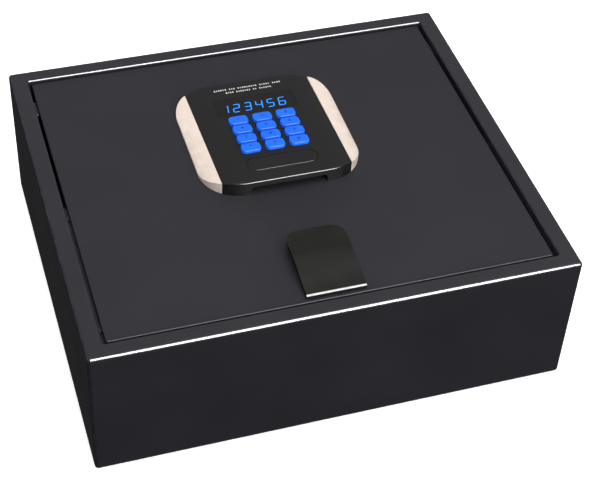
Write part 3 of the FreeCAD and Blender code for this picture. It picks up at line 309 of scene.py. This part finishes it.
def lit_segment(colour):
    """Display segment lit by a diode: uneven along its length."""
    material, tree, shader, where = begin("lit_segment", Roughness=0.5, Specular_IOR_Level=0.2,
                                          Emission_Strength=0.8)
    tone = mottled(tree, where, colour, 3, 0.82, 1.1)
    tree.links.new(tone, shader.inputs["Base Color"])
    tree.links.new(tone, shader.inputs["Emission Color"])
    return material


def printed_ink(name, colour):
    """Pad-printed ink: a thin, slightly broken film."""
    material, tree, shader, where = begin(name, Roughness=0.55, Specular_IOR_Level=0.3)
    tree.links.new(mottled(tree, where, colour, 0.6, 0.75, 1.05), shader.inputs["Base Color"])
    grain(tree, where, shader, 0.4, 0.01, 0.2)
    return material


def smoked_acrylic(colour):
    """Dark cast acrylic window: glossier than the housing, with faint wipe marks."""
    material, tree, shader, where = begin("smoked_acrylic", IOR=1.49, Specular_IOR_Level=0.2)
    tree.links.new(mottled(tree, where, colour, 15, 0.9, 1.1), shader.inputs["Base Color"])
    patchy_gloss(tree, where, shader, 6, 0.24, 0.36, (1, 0.25, 1))
    return material


def needle_felt(colour):
    """Needle-punched felt: matted fibres catch light one by one, so it looks soft and fuzzy."""
    material, tree, shader, where = begin("needle_felt", Roughness=0.95, Specular_IOR_Level=0.1,
                                          Sheen_Weight=0.35, Sheen_Roughness=0.5)
    # tufts are drawn about 2 mm across, coarser than real fibres, so that they show
    fibres = mottled(tree, where, colour, 2.2, 0.45, 1.9, 6)
    worn = mottled(tree, where, [c * 1.25 for c in colour], 2.2, 0.5, 1.9, 6)
    patch = add(tree, "ShaderNodeTexNoise", {"Scale": 1 / (25 * MM)}, Vector=where).outputs["Fac"]
    tone = add(tree, "ShaderNodeMix", {"data_type": "RGBA"}, _0=patch, _6=fibres, _7=worn).outputs[2]
    tree.links.new(tone, shader.inputs["Base Color"])
    grain(tree, where, shader, 0.9, 0.5, 0.7, (1, 1, 1), 6)
    return material


def moulded_rubber(colour):
    """Moulded black rubber: dull, with a bloom of pale dust."""
    material, tree, shader, where = begin("moulded_rubber", Roughness=0.8, Specular_IOR_Level=0.25)
    tree.links.new(mottled(tree, where, colour, 2, 0.8, 1.6, 4), shader.inputs["Base Color"])
    grain(tree, where, shader, 0.4, 0.02, 0.3)
    return material


def solder_mask(colour):
    """Green solder mask over copper tracks, which show as lighter ridges."""
    material, tree, shader, where = begin("solder_mask", Specular_IOR_Level=0.5)
    tracks = add(tree, "ShaderNodeTexBrick",
                 {"Scale": 1 / (8 * MM), "Mortar Size": 0.03, "Color1": (0, 0, 0, 1),
                  "Color2": (0.25, 0.25, 0.25, 1), "Mortar": (1, 1, 1, 1)}, Vector=where).outputs["Color"]
    tone = add(tree, "ShaderNodeMix", {"data_type": "RGBA", 6: [*colour, 1],
                                       7: [c * 1.8 + 0.01 for c in colour] + [1]}, _0=tracks).outputs[2]
    tree.links.new(tone, shader.inputs["Base Color"])
    patchy_gloss(tree, where, shader, 5, 0.28, 0.4)
    bump = add(tree, "ShaderNodeBump", {"Distance": 0.03 * MM, "Strength": 0.4}, Height=tracks)
    tree.links.new(bump.outputs["Normal"], shader.inputs["Normal"])
    return material


def shrink_wrap(colour, band):
    """Printed film shrunk round the cells: dark with a plain copper-coloured end, glossy and
    slightly wrinkled."""
    material, tree, shader, where = begin("shrink_wrapped_cell", Specular_IOR_Level=0.5)
    low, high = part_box("batteries")
    along = add(tree, "ShaderNodeSeparateXYZ", Vector=where).outputs[1]
    ended = add(tree, "ShaderNodeMath", {"operation": "GREATER_THAN", 1: low.y + 0.68 * (high.y - low.y)},
                _0=along).outputs[0]
    tone = add(tree, "ShaderNodeMix", {"data_type": "RGBA"}, _0=ended,
               _6=mottled(tree, where, colour, 8, 0.8, 1.3), _7=mottled(tree, where, band, 5, 0.9, 1.05))
    tree.links.new(tone.outputs[2], shader.inputs["Base Color"])
    patchy_gloss(tree, where, shader, 4, 0.2, 0.35)
    grain(tree, where, shader, 3, 0.05, 0.25, (1, 0.3, 1))
    return material


def ribbed_vinyl(colour):
    """Flat cable of parallel cores: fine ribs along it, in a soft grey skin."""
    material, tree, shader, where = begin("ribbon_cable_vinyl", Specular_IOR_Level=0.35)
    # one rib each 1.27 mm, the pitch of flat cable
    ribs = add(tree, "ShaderNodeTexWave", {"Scale": 0.314 / (1.27 * MM)}, Vector=where).outputs["Fac"]
    # the grooves between the ribs are painted darker: painted shade
    tone = add(tree, "ShaderNodeMix", {"data_type": "RGBA", 6: [c * 0.7 for c in colour] + [1],
                                       7: [*colour, 1]}, _0=ribs).outputs[2]
    tree.links.new(tone, shader.inputs["Base Color"])
    patchy_gloss(tree, where, shader, 6, 0.4, 0.5)
    bump = add(tree, "ShaderNodeBump", {"Distance": 0.2 * MM, "Strength": 0.5}, Height=ribs)
    tree.links.new(bump.outputs["Normal"], shader.inputs["Normal"])
    return material


def milky_silicone(colour):
    """Translucent dome sheet: milky and soft, with a faint bloom."""
    material, tree, shader, where = begin("milky_silicone", Roughness=0.5, Specular_IOR_Level=0.3,
                                          Subsurface_Weight=0.2, Subsurface_Scale=0.001)
    tree.links.new(mottled(tree, where, colour, 6, 0.9, 1.05), shader.inputs["Base Color"])
    grain(tree, where, shader, 0.6, 0.01, 0.2)
    return material


def all_finishes(colours):
    """One material for each of the frame's slots, and for the added detail."""
    return {
        "powder_coat": powder_coat("polyester_powder_coat", colours.coat, 0.3, 0.33, 0.12),
        # the case's paint with less gloss, its colour painted lighter to stand in for the missing reflection
        "lid_coat_painted_lighter": powder_coat("polyester_powder_coat_lid", colours.lid, 0.08, 0.5, 0.4),
        "black_plastic": moulded_plastic("abs_black", colours.housing, 0.4, level=0.2),
        "cream_plastic": moulded_plastic("abs_cream", colours.trim, 0.4, 0.7, 0.03),
        "blue_key": silicone_with_painted_glow(colours.key),
        "display_lens": smoked_acrylic(colours.housing),
        "display_led": moulded_plastic("display_module_epoxy", linear("#23201F"), 0.5),
        "circuit_board": solder_mask(linear("#17512C")),
        "board_part": moulded_plastic("component_epoxy", linear("#1B1B1C"), 0.55, 0.3),
        "dome_sheet": milky_silicone(linear("#D9D8D0")),
        "brass": turned_metal("turned_brass", linear("#D2B06A"), 0.26),
        "zinc_steel": plated_steel("zinc_plate", linear("#B9B8B2"), 0.34),
        "bolt_steel": turned_metal("turned_bright_steel", linear("#C8C8C6"), 0.2),
        "rubber": moulded_rubber(linear("#161616")),
        "felt": needle_felt(colours.felt),
        "nylon": moulded_plastic("natural_acetal", linear("#DAD7CC"), 0.45, 0.8),
        "battery_wrap": shrink_wrap(linear("#17181A"), linear("#A8672B")),
        "ribbon": ribbed_vinyl(linear("#9A9A9A")),
        "handle": handle_with_painted_highlight(colours.handle),
        "legend": printed_ink("legend_ink", colours.legend),
        "print": printed_ink("pale_print_ink", colours.print_ink),
        "digit": lit_segment(colours.digit),
    }


NODE_SLOT = {
    "powder_coat": "body_shell lid_ledges bolt_keeper hinge_brackets lid_ears",
    "lid_coat_painted_lighter": "lid_plate",
    "felt": "floor_mat",
    "rubber": "lid_bumpers",
    "zinc_steel": "hinge_pins pin_clips lid_screws cylinder_nut override_cam bolt_bar bolt_plate motor "
                  "motor_bracket plate_studs lock_chassis cover_screws handle_pin",
    "nylon": "ear_bushes bolt_rack bolt_guides",
    "black_plastic": "keypad_housing override_cover lock_cover battery_holder battery_door",
    "handle": "handle_lever handle_base",
    "cream_plastic": "keypad_trim_left keypad_trim_right",
    "display_lens": "display_window",
    "display_led": "display_module",
    "circuit_board": "keypad_board main_board",
    "dome_sheet": "key_mat",
    "bolt_steel": "override_cylinder lock_bolts output_shaft",
    "brass": "override_plug drive_pinion gearbox",
    "board_part": "board_parts",
    "ribbon": "ribbon_cable",
    "battery_wrap": "batteries",
    "blue_key": " ".join("key_" + name for name in KEYS),
}
PRESSED = ("override_cover lock_cover battery_holder battery_door bolt_bar lid_ears hinge_brackets "
           "bolt_keeper bolt_plate motor_bracket board_parts main_board gearbox motor").split()
FINISH = {}


# ---- pieces -----------------------------------------------------------------------
def piece_of(work, name, finish, body, replaced=()):
    """Make an object of a bmesh, give it its finish and let it ride on its body."""
    bmesh.ops.recalc_face_normals(work, faces=work.faces)
    mesh = bpy.data.meshes.new(name)
    work.to_mesh(mesh)
    work.free()
    mesh.materials.append(FINISH[finish])
    piece = bpy.data.objects.new(name, mesh)
    bpy.context.scene.collection.objects.link(piece)
    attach(piece, body)
    if replaced:
        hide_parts(*replaced)
    return piece


def bar(work, length, width, height, place, point=0.0):
    """Add a flat bar along x, its ends cut to a point if asked, and put it in its place."""
    single = bmesh.new()
    bmesh.ops.create_cube(single, size=1.0, matrix=Matrix.Diagonal((length, width, height, 1)))
    if point:
        ends = [edge for edge in single.edges if abs(edge.verts[0].co.z - edge.verts[1].co.z) > height / 2]
        bmesh.ops.bevel(single, geom=ends, offset=point, affect="EDGES", segments=1, profile=0.5,
                        material=-1)
    bmesh.ops.transform(single, matrix=place, verts=single.verts)
    mesh = bpy.data.meshes.new("bar")
    single.to_mesh(mesh)
    single.free()
    work.from_mesh(mesh)
    bpy.data.meshes.remove(mesh)


class SAFE_OT_finishes(bpy.types.Operator):
    """Give every part of the frame the finish of its real material"""
    bl_idname = "safe.finishes"
    bl_label = "Finishes"

    def execute(self, context):
        FINISH.update(all_finishes(context.scene.safe_colours))
        for slot, nodes in NODE_SLOT.items():
            for name in nodes.split():
                mesh = frame["nodes"][name].data
                mesh.materials.clear()
                mesh.materials.append(FINISH[slot])
        return {"FINISHED"}


class SAFE_OT_soft_edges(bpy.types.Operator):
    """Shade the frame's round surfaces smoothly and break the sharp edges of pressed and moulded parts"""
    bl_idname = "safe.soft_edges"
    bl_label = "Soft Edges"

    def execute(self, context):
        group = self.smooth_shading()
        for name, node in frame["nodes"].items():
            joined = node.modifiers.new("joined_faces", "NODES")
            joined.node_group = group
            if name in PRESSED:
                flat = node.modifiers.new("flat_faces", "DECIMATE")
                flat.decimate_type = "DISSOLVE"
                flat.angle_limit = math.radians(1)
                soft = node.modifiers.new("broken_edges", "BEVEL")
                soft.width = context.scene.safe_sizes.edge
                soft.segments = 2
                soft.limit_method = "ANGLE"
                soft.angle_limit = math.radians(40)
                soft.harden_normals = True
            else:
                even = node.modifiers.new("even_light", "WEIGHTED_NORMAL")
                even.keep_sharp = True
        return {"FINISHED"}

    @staticmethod
    def smooth_shading():
        """Join the loose triangles, then shade smooth with every edge over 30 degrees left sharp."""
        group = bpy.data.node_groups.new("smooth_shading", "GeometryNodeTree")
        group.interface.new_socket("Geometry", in_out="INPUT", socket_type="NodeSocketGeometry")
        group.interface.new_socket("Geometry", in_out="OUTPUT", socket_type="NodeSocketGeometry")
        mesh = add(group, "NodeGroupInput").outputs[0]
        mesh = add(group, "GeometryNodeMergeByDistance", {"Distance": 0.01 * MM}, Geometry=mesh).outputs[0]
        mesh = add(group, "GeometryNodeSetShadeSmooth", {"domain": "FACE"}, Geometry=mesh).outputs[0]
        angle = add(group, "GeometryNodeInputMeshEdgeAngle").outputs[0]
        sharp = add(group, "FunctionNodeCompare", {"operation": "GREATER_THAN", 1: math.radians(30)},
                    _0=angle).outputs[0]
        mesh = add(group, "GeometryNodeSetShadeSmooth", {"domain": "EDGE", "Shade Smooth": False},
                   Geometry=mesh, Selection=sharp).outputs[0]
        add(group, "NodeGroupOutput", _0=mesh)
        return group


class SAFE_OT_key_legends(bpy.types.Operator):
    """Print a figure on each key cap"""
    bl_idname = "safe.key_legends"
    bl_label = "Key Legends"

    def execute(self, context):
        sizes = context.scene.safe_sizes
        for name, figure in KEYS.items():
            font = bpy.data.curves.new("legend_" + name, "FONT")
            font.body = figure
            font.size = sizes.legend_height * 1.35
            font.offset = 0.12 * MM
            font.extrude = 0.03 * MM
            font.align_x = "CENTER"
            font.align_y = "CENTER"
            font.resolution_u = 6
            text = bpy.data.objects.new("legend_" + name, font)
            context.scene.collection.objects.link(text)
            context.view_layer.update()
            work = bmesh.new()
            work.from_mesh(bpy.data.meshes.new_from_object(text.evaluated_get(
                context.evaluated_depsgraph_get())))
            bpy.data.objects.remove(text)
            place = PAD @ Matrix.Translation(on_slope("key_" + name) + Vector((0, 0.9 * MM, 0.01 * MM)))
            bmesh.ops.transform(work, matrix=place, verts=work.verts)
            piece_of(work, "key_figure_" + name, "legend", "key_cap_" + name)
        return {"FINISHED"}


class SAFE_OT_digits(bpy.types.Operator):
    """Light the digits 1 to 6 on the display"""
    bl_idname = "safe.digits"
    bl_label = "Display Digits"

    # the segments that are lit in each digit, a at the top and then clockwise, g in the middle
    LIT = ("bc", "abged", "abgcd", "fgbc", "afgcd", "afgedc")
    SLANT = math.tan(math.radians(8))
    ASIDE, FORWARD = -2.0 * MM, -2.1 * MM
    GAP = 0.25 * MM
    FILM = 0.06 * MM

    def execute(self, context):
        sizes = context.scene.safe_sizes
        tall, stroke = sizes.digit_height - sizes.stroke, sizes.stroke
        wide = 0.46 * sizes.digit_height
        places = {"a": (0, tall / 2, 0), "g": (0, 0, 0), "d": (0, -tall / 2, 0),
                  "b": (wide / 2, tall / 4, 1), "c": (wide / 2, -tall / 4, 1),
                  "f": (-wide / 2, tall / 4, 1), "e": (-wide / 2, -tall / 4, 1)}
        slant = Matrix.Identity(4)
        slant[0][1] = self.SLANT
        work = bmesh.new()
        spot = on_slope("display_window")
        for index, lit in enumerate(self.LIT):
            along = (index - (len(self.LIT) - 1) / 2) * sizes.digit_pitch
            middle = Matrix.Translation(spot + Vector((along + self.ASIDE, self.FORWARD, 0)))
            for letter in lit:
                x, y, upright = places[letter]
                length = (tall / 2 if upright else wide) - self.GAP
                bar(work, length, stroke, self.FILM,
                    PAD @ middle @ slant @ Matrix.Translation((x, y, 0))
                    @ Matrix.Rotation(math.radians(90) * upright, 4, "Z"), 0.45 * stroke)
        piece_of(work, "display_digits", "digit", "lid")
        return {"FINISHED"}


class SAFE_OT_print_marks(bpy.types.Operator):
    """Print two lines of plain marks behind the display"""
    bl_idname = "safe.print_marks"
    bl_label = "Print Marks"

    # each line's half length, its distance behind the display window, and its groups of marks
    LINES = ((30.7 * MM, 6.4 * MM, (6, 3, 9, 5, 4)), (21.0 * MM, 1.5 * MM, (4, 7, 2, 6)))
    SHORT = 0.72
    FILM = 0.05 * MM
    RISE = 0.01 * MM

    def execute(self, context):
        height = context.scene.safe_sizes.print_height
        back = PAD.inverted() @ Vector((0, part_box("display_window")[1].y, 0))
        work = bmesh.new()
        for half_length, behind, groups in self.LINES:
            pitch = 2 * half_length / (sum(groups) + len(groups) - 1)
            x = -half_length + pitch / 2
            for count in groups:
                for mark in range(count):
                    share = self.SHORT if mark % 3 == 1 else 1.0
                    bar(work, 0.5 * pitch, height * share, self.FILM,
                        PAD @ Matrix.Translation((x, back.y + behind, self.RISE)))
                    x += pitch
                x += pitch
        piece_of(work, "print_marks", "print", "lid")
        return {"FINISHED"}


class SAFE_OT_felt_mat(bpy.types.Operator):
    """Lay the felt mat on the safe's floor, slightly uneven as cut felt lies"""
    bl_idname = "safe.felt_mat"
    bl_label = "Felt Mat"

    CELL = 12 * MM
    UNEVEN = 0.35 * MM

    def execute(self, context):
        work = bmesh.new()
        work.from_mesh(frame["nodes"]["floor_mat"].data)
        bmesh.ops.remove_doubles(work, verts=work.verts, dist=0.01 * MM)
        bmesh.ops.dissolve_limit(work, angle_limit=math.radians(1), verts=work.verts, edges=work.edges)
        low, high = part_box("floor_mat")
        for axis in (0, 1):
            steps = round((high[axis] - low[axis]) / self.CELL)
            normal = Vector((0, 0, 0))
            normal[axis] = 1
            for step in range(1, steps):
                place = normal * (low[axis] + (high[axis] - low[axis]) * step / steps)
                bmesh.ops.bisect_plane(work, geom=work.verts[:] + work.edges[:] + work.faces[:],
                                       plane_co=place, plane_no=normal)
        for vert in work.verts:
            if vert.co.z > high.z - 0.1 * MM:
                vert.co.z -= self.UNEVEN * (0.5 + 0.5 * noise.noise(vert.co * 22))
        mat = piece_of(work, "felt_mat", "felt", "case", ("floor_mat",))
        for face in mat.data.polygons:
            face.use_smooth = abs(face.normal.z) > 0.5
        return {"FINISHED"}


class SAFE_OT_cover_screws(bpy.types.Operator):
    """Make the four socket screws that hold the lock's cover"""
    bl_idname = "safe.cover_screws"
    bl_label = "Cover Screws"

    HEAD, HEAD_HEIGHT, SHANK = 2.75 * MM, 1.8 * MM, 1.5 * MM
    SOCKET, SOCKET_DEPTH, ROUND = 1.3 * MM, 1.0 * MM, 0.5 * MM

    def execute(self, context):
        low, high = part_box("cover_screws")
        head, tall = self.HEAD, high.z - low.z
        # radius and height above the head's outer face, from the socket's floor to the tip
        profile = [(0, self.SOCKET_DEPTH), (self.SOCKET, self.SOCKET_DEPTH), (self.SOCKET, 0),
                   (head - self.ROUND, 0), (head - 0.3 * self.ROUND, 0.3 * self.ROUND), (head, self.ROUND),
                   (head, self.HEAD_HEIGHT), (self.SHANK, self.HEAD_HEIGHT), (self.SHANK, tall), (0, tall)]
        work = bmesh.new()
        for x in (low.x + head, high.x - head):
            for y in (low.y + head, high.y - head):
                line = [work.verts.new((x + r, y, low.z + z)) for r, z in profile]
                run = [work.edges.new(pair) for pair in zip(line, line[1:])]
                bmesh.ops.spin(work, geom=line + run, cent=(x, y, 0), axis=(0, 0, 1), angle=math.tau,
                               steps=24, use_merge=True)
        bmesh.ops.remove_doubles(work, verts=work.verts, dist=0.001 * MM)
        screws = piece_of(work, "cover_socket_screws", "zinc_steel", "lid", ("cover_screws",))
        soft = screws.modifiers.new("even_light", "WEIGHTED_NORMAL")
        soft.keep_sharp = True
        return {"FINISHED"}


class SAFE_OT_stage(bpy.types.Operator):
    """Add the floor, the soft studio lights and the camera"""
    bl_idname = "safe.stage"
    bl_label = "Stage"

    def execute(self, context):
        scene = context.scene
        self.floor(scene)
        self.studio(scene)
        # kept out of reflections, so that only the edge light and the room show as gloss
        for lamp in SOFT_LIGHTS:
            self.light(scene, *lamp).visible_glossy = False
        # kept out of the diffuse light, so that it only draws a highlight along rounded edges
        self.light(scene, *EDGE_LIGHT).visible_diffuse = False

        camera = bpy.data.cameras.new("camera")
        camera.lens = LENS_MM
        camera.sensor_width = SENSOR_MM
        camera.clip_start = 0.05
        eye = bpy.data.objects.new("camera", camera)
        azimuth, elevation, roll = (math.radians(angle) for angle in CAMERA_ANGLES)
        away = Vector((math.sin(azimuth) * math.cos(elevation), -math.cos(azimuth) * math.cos(elevation),
                       math.sin(elevation)))
        turn = (-away).to_track_quat("-Z", "Y").to_matrix() @ Matrix.Rotation(-roll, 3, "Z")
        eye.matrix_world = Matrix.Translation(Vector(CAMERA_TARGET) + away * CAMERA_DISTANCE) @ turn.to_4x4()
        scene.collection.objects.link(eye)
        scene.camera = eye
        scene.view_settings.view_transform = "Standard"
        return {"FINISHED"}

    @staticmethod
    def floor(scene):
        """Plain pale paper, which lights nothing from below."""
        mesh = bpy.data.meshes.new("floor")
        work = bmesh.new()
        bmesh.ops.create_grid(work, x_segments=1, y_segments=1, size=20.0)
        work.to_mesh(mesh)
        work.free()
        floor = bpy.data.objects.new("floor", mesh)
        floor.location.z = -0.2 * MM
        floor.visible_diffuse = False
        floor.visible_glossy = False
        scene.collection.objects.link(floor)
        paper, tree, shader, where = begin("floor_paper", Roughness=0.95, Specular_IOR_Level=0.1,
                                           Emission_Color=(1, 1, 1, 1), Emission_Strength=0.45)
        tree.links.new(mottled(tree, where, (0.95, 0.95, 0.95), 500, 0.99, 1.0), shader.inputs["Base Color"])
        mesh.materials.append(paper)

    @staticmethod
    def studio(scene):
        """Light from the upper half of the room, and next to none from below."""
        world = bpy.data.worlds.new("studio")
        world.use_nodes = True
        tree = world.node_tree
        up = add(tree, "ShaderNodeSeparateXYZ",
                 Vector=add(tree, "ShaderNodeNewGeometry").outputs["Position"]).outputs[2]
        light = add(tree, "ShaderNodeMapRange", {"From Min": -0.05, "From Max": 0.05, "To Min": 0.04,
                                                 "To Max": 0.45}, Value=up).outputs["Result"]
        tree.nodes["Background"].inputs["Color"].default_value = (1, 1, 1, 1)
        # past the floor's end the room shows as the same white as the floor
        seen = add(tree, "ShaderNodeLightPath").outputs["Is Camera Ray"]
        shown = add(tree, "ShaderNodeMix", {"data_type": "FLOAT", 3: 1.0}, _0=seen, _2=light).outputs[0]
        tree.links.new(shown, tree.nodes["Background"].inputs["Strength"])
        scene.world = world

    @staticmethod
    def light(scene, name, place, width, height, watts):
        lamp = bpy.data.lights.new(name, "AREA")
        lamp.shape = "RECTANGLE"
        lamp.size = width
        lamp.size_y = height
        lamp.energy = watts
        obj = bpy.data.objects.new(name, lamp)
        obj.location = place
        obj.rotation_euler = (Vector(AIM) - Vector(place)).to_track_quat("-Z", "Y").to_euler()
        scene.collection.objects.link(obj)
        return obj


class SAFE_PT_panel(bpy.types.Panel):
    """Lists the colours, the sizes and the build steps in the sidebar"""
    bl_idname = "SAFE_PT_panel"
    bl_label = "Drawer Gun Safe"
    bl_space_type = "VIEW_3D"
    bl_region_type = "UI"
    bl_category = "Safe"

    def draw(self, context):
        for group in (context.scene.safe_colours, context.scene.safe_sizes):
            for name in type(group).__annotations__:
                self.layout.prop(group, name)
        for step in STEPS:
            self.layout.operator(step.bl_idname)


STEPS = (SAFE_OT_finishes, SAFE_OT_soft_edges, SAFE_OT_key_legends, SAFE_OT_digits, SAFE_OT_print_marks,
         SAFE_OT_felt_mat, SAFE_OT_cover_screws, SAFE_OT_stage)
CLASSES = (SafeColours, SafeSizes) + STEPS + (SAFE_PT_panel,)


def register():
    for cls in CLASSES:
        bpy.utils.register_class(cls)
    bpy.types.Scene.safe_colours = bpy.props.PointerProperty(type=SafeColours)
    bpy.types.Scene.safe_sizes = bpy.props.PointerProperty(type=SafeSizes)


def unregister():
    del bpy.types.Scene.safe_sizes
    del bpy.types.Scene.safe_colours
    for cls in reversed(CLASSES):
        bpy.utils.unregister_class(cls)


def main():
    for name in ("Cube", "Light", "Camera"):
        if name in bpy.data.objects:
            bpy.data.objects.remove(bpy.data.objects[name])
    register()
    bpy.ops.safe.finishes()
    bpy.ops.safe.soft_edges()
    bpy.ops.safe.key_legends()
    bpy.ops.safe.digits()
    bpy.ops.safe.print_marks()
    bpy.ops.safe.felt_mat()
    bpy.ops.safe.cover_screws()
    bpy.ops.safe.stage()


if __name__ == "__main__":
    main()
